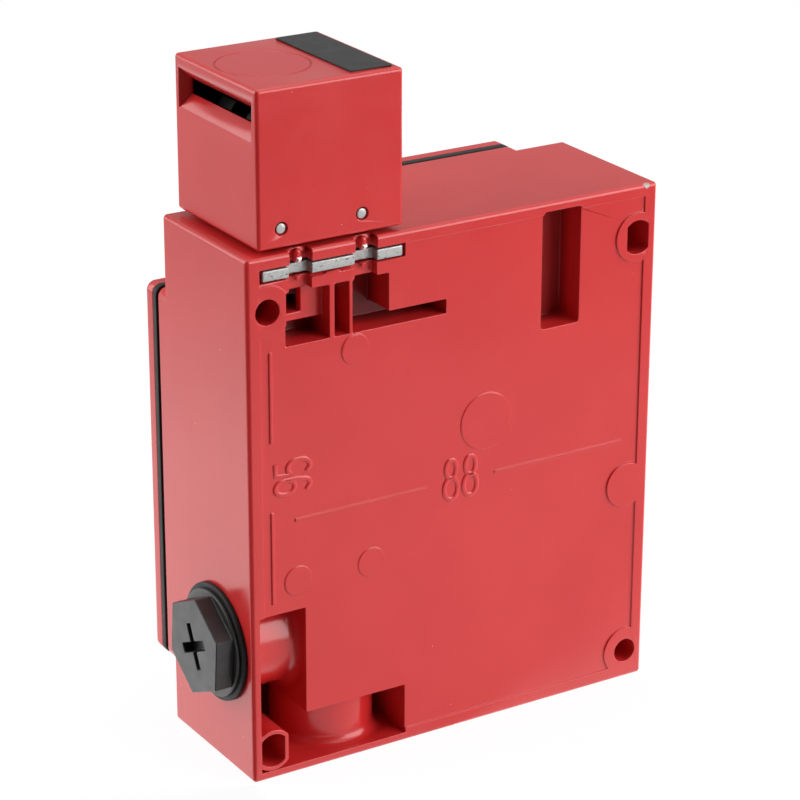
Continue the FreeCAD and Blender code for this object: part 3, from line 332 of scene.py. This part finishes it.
def red_paint(name, chip=None, deep=None, painted_shade_colour=None):
    """Powder paint with an optional chip, darkened by painted shade in a deep hollow.

    The hollow is two corners of a box, the number of an axis, and the places on that axis where the
    painted shade starts and where it is full. There the paint also loses most of its shine.
    """
    material, tree, shader, _ = new_material(name)
    colour = tint(tree, noise(tree, 40.0, 0.35, 0.65), (0.575, 0.023, 0.024), (0.605, 0.028, 0.028))
    colour = tint(tree, specks(tree, 5.2 * MM, 0.12 * MM, 0.7), colour, (0.80, 0.42, 0.38))
    shine = stretched(tree, noise(tree, 150.0, 0.3, 0.7), 0.0, 1.0, 0.19, 0.25)
    if chip:
        chip_edge, chip_core, chip_ragged = 1.0 * MM, 0.9 * MM, 0.7 * MM
        distance = tree.nodes.new("ShaderNodeVectorMath")
        distance.operation = "LENGTH"
        tree.links.new(object_place(tree, chip), distance.inputs[0])
        ragged = maths(tree, "ADD", distance.outputs["Value"],
                       stretched(tree, noise(tree, 1500.0, 0.3, 0.7), 0.0, 1.0, 0.0, chip_ragged))
        chip_and_shade = stretched(tree, ragged, chip_edge, chip_core)
        colour = tint(tree, chip_and_shade, colour, (0.42, 0.36, 0.34))
    # Painted shade: inside the hollow the colour runs to the shade colour, deeper along the axis, and the
    # shine drops.
    if deep:
        low, high, axis, first, last = deep
        parts = tree.nodes.new("ShaderNodeSeparateXYZ")
        tree.links.new(object_place(tree), parts.inputs[0])
        depth = stretched(tree, parts.outputs[axis], first, last)
        chip_and_shade = maths(tree, "MULTIPLY", depth, inside(tree, low, high))
        colour = tint(tree, chip_and_shade, colour, painted_shade_colour)
        wire(tree, (stretched(tree, chip_and_shade, 0.0, 1.0, 0.5, 0.2), shader.inputs["Specular IOR Level"]))
    wire(tree, (colour, shader.inputs["Base Color"]), (shine, shader.inputs["Roughness"]))
    relief(tree, shader, noise(tree, 700.0, 0.2, 0.8), 0.006 * MM)
    return material


def cad_copy(node):
    """bmesh of a CAD solid with its loose triangles joined."""
    bm = bmesh.new()
    bm.from_mesh(frame["nodes"][node].data)
    bmesh.ops.remove_doubles(bm, verts=bm.verts, dist=0.0005 * MM)
    return bm


sharp_angle = math.radians(50)
smooth_angle = math.radians(52)
stray_share = 0.7
most_tries = 6


def soften(bm, width, test=None, segments=2):
    """Copy with rounded edges: those sharper than 50 degrees that pass the test.

    Where a round would leave the surface, as in the corner of a tiny step, the edge stays sharp.
    """
    bm.edges.index_update()
    skin = BVHTree.FromBMesh(bm)
    sharp = {edge.index: [vert.co.copy() for vert in edge.verts] for edge in bm.edges
             if len(edge.link_faces) == 2 and edge.calc_face_angle(0.0) > sharp_angle
             and (test is None or test(edge))}
    for _ in range(most_tries):
        rounded = bm.copy()
        rounded.edges.ensure_lookup_table()
        bmesh.ops.bevel(rounded, geom=[rounded.edges[number] for number in sharp], offset=width,
                        offset_type="OFFSET", segments=segments, profile=0.5, affect="EDGES",
                        material=-1, clamp_overlap=False, face_strength_mode="NEW")
        strays = [(vert.co.copy(), away) for vert in rounded.verts
                  if (away := skin.find_nearest(vert.co)[3]) > stray_share * width]
        if not strays:
            break
        sharp = {number: ends for number, ends in sharp.items()
                 if not any((end - spot).length < away + 2.0 * width
                            for end in ends for spot, away in strays)}
    bm.free()
    return rounded


def finish_piece(bm, name, body, material, stands_for=()):
    """Object from the bmesh, shaded smooth between sharp edges, riding on its body."""
    mesh = bpy.data.meshes.new(name)
    bm.to_mesh(mesh)
    bm.free()
    mesh.shade_smooth()
    mesh.set_sharp_from_angle(angle=smooth_angle)
    mesh.materials.append(material)
    piece = bpy.data.objects.new(name, mesh)
    bpy.context.collection.objects.link(piece)
    weight = piece.modifiers.new("face_weight", "WEIGHTED_NORMAL")
    weight.use_face_influence = True
    weight.keep_sharp = True
    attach(piece, body)
    if stands_for:
        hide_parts(*stands_for)
    return piece


def body_with(node):
    """The body of the record that holds a node."""
    for body, nodes in frame["record"]["behaviour"]["bodies"].items():
        if node in nodes:
            return body


def refined(node, name, material, width, segments=2):
    """Copy of a CAD solid with its sharp edges rounded, which stands for the solid."""
    bm = soften(cad_copy(node), width, segments=segments)
    return finish_piece(bm, name, body_with(node), material, [node])


housing_low, housing_high = [Vector(corner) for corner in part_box("housing")]
rear_y = housing_high.y
rim_height = 0.4 * MM
field_y = rear_y - rim_height
along_y = 1
# Painted shade: inside this box the paint turns very dark red between 4 and 10 mm below the rear face.
painted_shade_pocket = ((housing_low.x + 3.0 * MM, housing_low.y + 3.0 * MM, housing_high.z - 34.0 * MM),
          (housing_high.x - 2.2 * MM, rear_y - 3.5 * MM, housing_high.z - 3.0 * MM),
          along_y, rear_y - 4.0 * MM, rear_y - 10.0 * MM)
paint_chip = (housing_low.x + 2.6 * MM, rear_y - 0.3 * MM, housing_high.z - 0.4 * MM)
housing_paint = red_paint("housing_paint", paint_chip, painted_shade_pocket, (0.080, 0.010, 0.010))
relief_depth = 0.45 * MM


def on_relief(edge):
    """Whether an edge belongs to the low rim, the pads or the rings on the rear field."""
    return all(vert.co.y > rear_y - relief_depth for vert in edge.verts)


relief_round = 0.15 * MM
casting_round = 0.28 * MM
bm = soften(cad_copy("housing"), relief_round, on_relief)
bm = soften(bm, casting_round, lambda edge: not on_relief(edge))
finish_piece(bm, "housing_casting", "housing_body", housing_paint, ["housing"])

# ---- Cast numbers
# The die has the fixing distances cut into it, so the casting shows them as soft raised numbers:
# 88 beside the level line and 95 beside the upright line, in low round strokes.
stroke = 0.60 * MM
stroke_height = 0.27 * MM


def stroke_path(data, points, closed, corners=()):
    """Bezier centre line of one stroke; points are across and up in millimetres."""
    spline = data.splines.new("BEZIER")
    spline.bezier_points.add(len(points) - 1)
    for number, ((across, height), knot) in enumerate(zip(points, spline.bezier_points)):
        knot.co = (across * MM, height * MM, 0)
        kind = "VECTOR" if number in corners else "AUTO"
        knot.handle_left_type = kind
        knot.handle_right_type = kind
    spline.use_cyclic_u = closed
    spline.resolution_u = 10


def oval(middle, height, half_width, half_height):
    """Four knots of a closed loop."""
    return [(middle - half_width, height), (middle, height + half_height),
            (middle + half_width, height), (middle, height - half_height)]


def eight(middle):
    """Strokes of an 8 about a middle; each is its knots, whether it closes, and its corners."""
    return [(oval(middle, 2.95, 1.62, 2.35), True, ()), (oval(middle, 7.3, 1.25, 1.98), True, ())]


def nine(middle):
    """Strokes of a 9."""
    tail = [(middle + 1.62, 6.6), (middle + 1.45, 3.6), (middle + 0.2, 0.75), (middle - 1.45, 1.55)]
    return [(oval(middle, 6.85, 1.62, 2.4), True, ()), (tail, False, ())]


def five(middle):
    """The single stroke of a 5."""
    line = [(middle + 1.45, 9.2), (middle - 1.25, 9.2), (middle - 1.45, 5.4), (middle + 0.1, 6.2),
            (middle + 1.62, 3.5), (middle + 0.1, 0.75), (middle - 1.5, 1.5)]
    return [(line, False, (0, 1, 2))]


def cast_number(name, figures, across, upright, corner, size):
    """Two figures as one mesh, laid on the rear field from the corner along two axes."""
    data = bpy.data.curves.new(name, "CURVE")
    data.dimensions = "3D"
    data.bevel_depth = stroke
    data.bevel_resolution = 3
    data.use_fill_caps = True
    for strokes in figures:
        for points, closed, corners in strokes:
            stroke_path(data, [(x * size, y * size) for x, y in points], closed, corners)
    curve = bpy.data.objects.new(name + "_line", data)
    mesh = bpy.data.meshes.new_from_object(curve)
    bpy.data.objects.remove(curve)
    bm = bmesh.new()
    bm.from_mesh(mesh)
    bmesh.ops.remove_doubles(bm, verts=bm.verts, dist=0.001 * MM)
    out = Vector((0, 1, 0))
    turn = Matrix((across, upright, out)).transposed().to_4x4()
    flat = Matrix.Diagonal((1, 1, stroke_height / stroke, 1))
    bmesh.ops.transform(bm, matrix=Matrix.Translation(corner) @ turn @ flat, verts=bm.verts)
    bmesh.ops.recalc_face_normals(bm, faces=bm.faces)
    finish_piece(bm, name, "housing_body", housing_paint)


level_start = Vector((3.5 * MM, field_y, -2.0 * MM))
upright_start = Vector((34.0 * MM, field_y, 7.9 * MM))
cast_number("cast_number_88", [eight(2.2), eight(6.9)], Vector((-1, 0, 0)), Vector((0, 0, 1)),
            level_start, 1.0)
cast_number("cast_number_95", [nine(2.2), five(6.5)], Vector((0, 0, 1)), Vector((1, 0, 0)),
            upright_start, 0.93)

# ---- Retaining fork and its stakes
# A stamped, zinc plated steel fork that locks the turret head into the housing from behind. Two
# cast ribs are staked over it, and the blows have rubbed the paint off their lower ends.


def dull_zinc(name, light, dark, shine_low, shine_high):
    """Grey plated steel with a fine mottled grain and dark pits."""
    material, tree, shader, _ = new_material(name)
    colour = tint(tree, noise(tree, 2200.0, 0.30, 0.66, detail=3.0, roughness=0.6), dark, light)
    pits = noise(tree, 1900.0, 0.66, 0.72, detail=1.0)
    colour = tint(tree, pits, colour, tuple(0.25 * part for part in dark))
    shader.inputs["Metallic"].default_value = 0.85
    wire(tree, (colour, shader.inputs["Base Color"]),
         (stretched(tree, noise(tree, 1400.0, 0.3, 0.7), 0.0, 1.0, shine_low, shine_high),
          shader.inputs["Roughness"]))
    relief(tree, shader, noise(tree, 1800.0, 0.3, 0.7, detail=3.0), 0.012 * MM)
    return material


fork_steel = dull_zinc("fork_steel", (0.44, 0.44, 0.43), (0.33, 0.33, 0.32), 0.42, 0.60)
refined("retaining_fork", "stamped_fork", fork_steel, 0.30 * MM, 3)

rubbed_zinc = dull_zinc("rubbed_zinc", (0.86, 0.78, 0.76), (0.72, 0.58, 0.56), 0.3, 0.45)
fork_low, fork_high = [Vector(corner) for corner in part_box("retaining_fork")]
fork_middle = 0.5 * (fork_low.x + fork_high.x)
stake_offset = 7.4 * MM
stake_shift = 0.12 * MM
stake_depth = 1.35 * MM
stake_foot = fork_high.z + 0.40 * MM
stake_rise = 0.52 * MM
stake_lean = math.radians(-38)
stake_foot_r, stake_tip_r = 0.80 * MM, 0.62 * MM
stake_length = 1.15 * MM
stake_round = 0.22 * MM
for number, side in enumerate((1, -1)):
    bm = bmesh.new()
    bmesh.ops.create_cone(bm, cap_ends=True, segments=24, radius1=stake_foot_r,
                          radius2=stake_tip_r, depth=stake_length)
    ends = [edge for edge in bm.edges if any(len(face.verts) > 4 for face in edge.link_faces)]
    bmesh.ops.bevel(bm, geom=ends, offset=stake_round, offset_type="OFFSET", segments=3,
                    profile=0.5, affect="EDGES", material=-1)
    spot = Vector((fork_middle + side * stake_offset - stake_shift, rear_y - stake_depth,
                   stake_foot + stake_rise))
    lean = Matrix.Rotation(stake_lean, 4, "X")
    bmesh.ops.transform(bm, matrix=Matrix.Translation(spot) @ lean, verts=bm.verts)
    finish_piece(bm, f"stake_tip_{number + 1}", "housing_body", rubbed_zinc)

# ---- Cover, gasket and cover screws
# The front cover is the second painted casting. It presses a black moulded gasket on the
# housing's front step, with four zinc plated cross-recess screws at its corners.
refined("cover", "front_cover", red_paint("cover_paint"), 0.22 * MM)


def moulded(name, colour, shine, grain, depth, wear=None, gloss=0.5):
    """Moulded rubber or plastic with a fine spark-eroded grain and slight clouding."""
    material, tree, shader, _ = new_material(name)
    lighter = tuple(min(1.0, 1.35 * part + 0.004) for part in colour)
    base = tint(tree, noise(tree, 260.0, 0.35, 0.68, detail=4.0), colour, lighter)
    if wear:
        base = tint(tree, specks(tree, 3.0 * MM, 0.09 * MM, 0.7), base, wear)
    wire(tree, (base, shader.inputs["Base Color"]),
         (stretched(tree, noise(tree, 320.0, 0.3, 0.7), 0.0, 1.0, shine, shine + 0.10),
          shader.inputs["Roughness"]))
    shader.inputs["Specular IOR Level"].default_value = gloss
    relief(tree, shader, noise(tree, grain, 0.3, 0.7, detail=3.0), depth)
    return material


seal_rubber = moulded("seal_rubber", (0.011, 0.011, 0.011), 0.50, 2200.0, 0.010 * MM, gloss=0.28)
refined("cover_gasket", "moulded_gasket", seal_rubber, 0.18 * MM)


def plated(name, colour, shine_low, shine_high, metallic=1.0, squeeze=(1, 1, 1)):
    """Smooth plated or turned metal with fine tool marks along one axis."""
    material, tree, shader, _ = new_material(name)
    darker = tuple(0.92 * part for part in colour)
    wire(tree, (tint(tree, noise(tree, 700.0, 0.3, 0.7, detail=3.0, squeeze=squeeze), darker, colour),
                shader.inputs["Base Color"]),
         (stretched(tree, noise(tree, 500.0, 0.3, 0.7, squeeze=squeeze), 0.0, 1.0, shine_low, shine_high),
          shader.inputs["Roughness"]))
    shader.inputs["Metallic"].default_value = metallic
    relief(tree, shader, noise(tree, 1600.0, 0.3, 0.7, squeeze=squeeze), 0.004 * MM)
    return material


def dressed(material, *nodes):
    """Give carried-over CAD solids their material."""
    for node in nodes:
        for socket in frame["nodes"][node].material_slots:
            socket.material = material


zinc_steel = plated("zinc_steel", (0.66, 0.66, 0.64), 0.28, 0.42)
refined("cover_screws", "cross_recess_screws", zinc_steel, 0.12 * MM)

# ---- Blanking plug and its seal
# A dark grey polyamide plug with a hexagon head and a cross recess, screwed into the side cable
# entry on a black flat ring.
black_polymer = (0.016, 0.0155, 0.015)
plug_plastic = moulded("plug_plastic", black_polymer, 0.36, 1500.0, 0.010 * MM, (0.16, 0.155, 0.15))
seal_low, seal_high = [Vector(corner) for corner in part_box("plug_seal")]
plug_y = 0.5 * (seal_low.y + seal_high.y)
plug_z = 0.5 * (seal_low.z + seal_high.z)
plug_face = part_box("blanking_plug")[1][0]
recess_reach = 7.0 * MM
hexagon_turn = -5.0
recess_turn = 25.0
arm_reach = 4.9 * MM
narrow_half = 0.80 * MM
wide_half = 1.05 * MM
hair = 0.01 * MM


def turned(vert, degrees, across, height):
    """Put a plug vertex at a place across the plug's axis, turned about that axis."""
    turn = math.radians(degrees)
    vert.co.y = plug_y + across * math.cos(turn) - height * math.sin(turn)
    vert.co.z = plug_z + across * math.sin(turn) + height * math.cos(turn)


bm = cad_copy("blanking_plug")
recess_floor = min((vert.co.x for vert in bm.verts
                    if Vector((vert.co.y - plug_y, vert.co.z - plug_z)).length < recess_reach
                    and vert.co.x > seal_high.x), default=plug_face)
flat_ends = [face for face in bm.faces if abs(face.normal.x) > 0.9
             and all(vert.co.x > recess_floor - hair for vert in face.verts)]
bmesh.ops.delete(bm, geom=flat_ends, context="FACES")
for vert in bm.verts:
    across, height = vert.co.y - plug_y, vert.co.z - plug_z
    if math.hypot(across, height) > recess_reach or vert.co.x < recess_floor - hair:
        turned(vert, hexagon_turn, across, height)
    else:
        across = math.copysign(narrow_half if abs(across) < 1.0 * MM else arm_reach, across)
        height = math.copysign(wide_half if abs(height) < 2.0 * MM else arm_reach, height)
        turned(vert, recess_turn, across, height)
open_edges = [edge for edge in bm.edges if len(edge.link_faces) == 1]
for level in (plug_face, recess_floor):
    loop = [edge for edge in open_edges
            if all(abs(vert.co.x - level) < hair for vert in edge.verts)]
    bmesh.ops.triangle_fill(bm, use_beauty=True, use_dissolve=False, edges=loop, normal=(1, 0, 0))
bmesh.ops.recalc_face_normals(bm, faces=bm.faces)
bm = soften(bm, 0.24 * MM, segments=3)
finish_piece(bm, "hexagon_plug", "housing_body", plug_plastic, ["blanking_plug"])
refined("plug_seal", "plug_ring", seal_rubber, 0.22 * MM, 3)

# ---- Lower cable entry
# The second entry is open. Its bore is cut with an M20 by 1.5 thread after painting, so the
# turns show bare zinc.
entry = next(mount for mount in frame["record"]["mounts"] if mount["name"] == "cable_entry")
entry_mouth = Vector(entry["pos_m"])
entry_r = entry["dims"]["r_mm"] * MM
pitch = 1.5 * MM
turns = 8
steps = 48
lead_in = 1.0 * MM
root_r = entry_r + 0.05 * MM
crest_r = entry_r - 0.45 * MM
bm = bmesh.new()
profile = [(root_r, 0.0), (crest_r, 0.55 * MM), (crest_r, 0.75 * MM), (root_r, 1.3 * MM)]
ring = [bm.verts.new((radius, 0, height)) for radius, height in profile]
edges = [bm.edges.new(pair) for pair in zip(ring, ring[1:] + ring[:1])]
bm.faces.new(ring)
bmesh.ops.spin(bm, geom=ring + edges, cent=(0, 0, 0), axis=(0, 0, 1), angle=math.tau * turns,
               steps=steps * turns, dvec=(0, 0, pitch / steps))
ends = [edge for edge in bm.edges if len(edge.link_faces) == 1]
bmesh.ops.holes_fill(bm, edges=ends, sides=4)
bmesh.ops.recalc_face_normals(bm, faces=bm.faces)
bmesh.ops.translate(bm, verts=bm.verts, vec=entry_mouth + Vector((0, 0, lead_in)))
finish_piece(bm, "entry_thread", "housing_body",
             plated("cut_zinc", (0.58, 0.57, 0.55), 0.30, 0.45, squeeze=(1, 1, 4)))

# ---- Turret head
# The head is a third painted casting over a steel base. Two pins hold the cap, a black plug closes
# the slot in its top, and the other slot shows the blackened coded wheel inside.
head_low, head_high = [Vector(corner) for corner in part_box("head_housing")]
slot_wall = 2.7 * MM
plain_wall = 1.5 * MM
along_x = 0
# Painted shade: more than 2.9 mm in from the slot's side face, the cap's inside turns nearly black and
# loses its shine.
painted_shade_hollow = ((head_low.x + plain_wall, head_low.y + plain_wall, head_low.z - 1.0 * MM),
          (head_high.x - slot_wall, head_high.y - plain_wall, head_high.z - slot_wall),
          along_x, head_high.x - slot_wall, head_high.x - 2.9 * MM)
refined("head_housing", "head_cap",
        red_paint("head_paint", deep=painted_shade_hollow, painted_shade_colour=(0.010, 0.006, 0.006)), 0.16 * MM)
refined("slot_plug", "top_slot_plug",
        moulded("slot_plug_plastic", black_polymer, 0.50, 900.0, 0.020 * MM, (0.10, 0.095, 0.09), 0.30),
        0.12 * MM)
refined("head_pins", "cap_pins",
        plated("pin_steel", (0.46, 0.46, 0.45), 0.34, 0.46, 0.8), 0.17 * MM)
dressed(seal_rubber, "head_seal")
blackened = plated("blackened_steel", (0.045, 0.045, 0.043), 0.34, 0.5, 0.9)
dressed(blackened, "cam_wheel", "cam_disc")
dressed(plated("base_zinc", (0.33, 0.33, 0.32), 0.38, 0.52, 0.9), "head_base")
bright_steel = plated("bright_steel", (0.60, 0.60, 0.59), 0.22, 0.34)
dressed(bright_steel, "cam_axle", "head_plunger", "lock_slide")

# ---- Key release
# A satin chromed cam lock in the cover, with its rotor and a hexagon nut behind the cover's skin.
lock_chrome = plated("lock_chrome", (0.66, 0.66, 0.67), 0.20, 0.25)
refined("lock_barrel", "lock_collar", lock_chrome, 0.25 * MM, 3)
refined("lock_rotor", "lock_core", lock_chrome, 0.15 * MM)
dressed(lock_chrome, "lock_nut")

# ---- Indicator lamps
# Two domed lenses, one amber and one green, pushed through the cover from inside, with light
# diodes behind them on a small board.


def lens_plastic(name, colour):
    """Clear coloured plastic with fine rings around the lens's axis."""
    material, tree, shader, _ = new_material(name)
    deep = tuple(0.7 * part for part in colour)
    rings = tree.nodes.new("ShaderNodeTexWave")
    rings.wave_type = "RINGS"
    rings.rings_direction = "Y"
    rings.inputs["Scale"].default_value = 700.0
    wire(tree, (noise(tree, 300.0, 0.3, 0.7), rings.inputs["Distortion"]),
         (object_place(tree), rings.inputs["Vector"]))
    wire(tree, (tint(tree, rings.outputs["Fac"], deep, colour), shader.inputs["Base Color"]),
         (stretched(tree, noise(tree, 400.0, 0.3, 0.7), 0.0, 1.0, 0.10, 0.18),
          shader.inputs["Roughness"]))
    shader.inputs["Transmission Weight"].default_value = 0.35
    return material


for hue, colour in (("amber", (0.85, 0.36, 0.03)), ("green", (0.05, 0.50, 0.12))):
    refined(f"lamp_lens_{hue}", f"{hue}_lens_dome",
            lens_plastic(f"{hue}_plastic", colour), 0.12 * MM)
dressed(moulded("diode_resin", (0.72, 0.72, 0.69), 0.12, 1800.0, 0.002 * MM), "lamp_diodes")
dressed(moulded("board_laminate", (0.02, 0.13, 0.05), 0.45, 2400.0, 0.006 * MM), "lamp_board")

# ---- Solenoid and locking bolt
# A bobbin wound with enamelled wire in a bent steel yoke. Its core draws the bolt out of the
# slide's path, and a spring pushes the bolt back.
dressed(plated("yoke_steel", (0.50, 0.50, 0.49), 0.34, 0.48, squeeze=(1, 1, 5)),
        "solenoid_frame", "pole_piece", "solenoid_core", "locking_bolt")
works_plastic = moulded("works_plastic", (0.72, 0.70, 0.64), 0.45, 1800.0, 0.010 * MM)
dressed(works_plastic, "coil_bobbin", "contact_block", "terminal_block")
winding, tree, shader, _ = new_material("enamelled_winding")
layers = tree.nodes.new("ShaderNodeTexWave")
layers.bands_direction = "X"
layers.inputs["Scale"].default_value = 500.0
layers.inputs["Distortion"].default_value = 0.4
tree.links.new(object_place(tree), layers.inputs["Vector"])
wire(tree, (tint(tree, layers.outputs["Fac"], (0.20, 0.055, 0.02), (0.55, 0.21, 0.09)),
            shader.inputs["Base Color"]),
     (stretched(tree, layers.outputs["Fac"], 0.0, 1.0, 0.45, 0.28), shader.inputs["Roughness"]))
shader.inputs["Metallic"].default_value = 0.7
relief(tree, shader, layers.outputs["Fac"], 0.05 * MM)
dressed(winding, "coil_winding")
dressed(zinc_steel, "frame_screws", "earth_screw", "contact_screws", "terminal_screws", "core_spring",
        "slide_spring")

# ---- Contacts and terminals
# Two pairs of silver tipped brass contacts on a black carriage under the slide, and six screw
# terminals with brass clamps.
dressed(moulded("carriage_plastic", (0.03, 0.03, 0.03), 0.4, 1800.0, 0.008 * MM), "contact_carriage")
dressed(plated("contact_brass", (0.72, 0.52, 0.20), 0.24, 0.38), "contact_bridges", "fixed_contacts",
        "terminal_clamps")
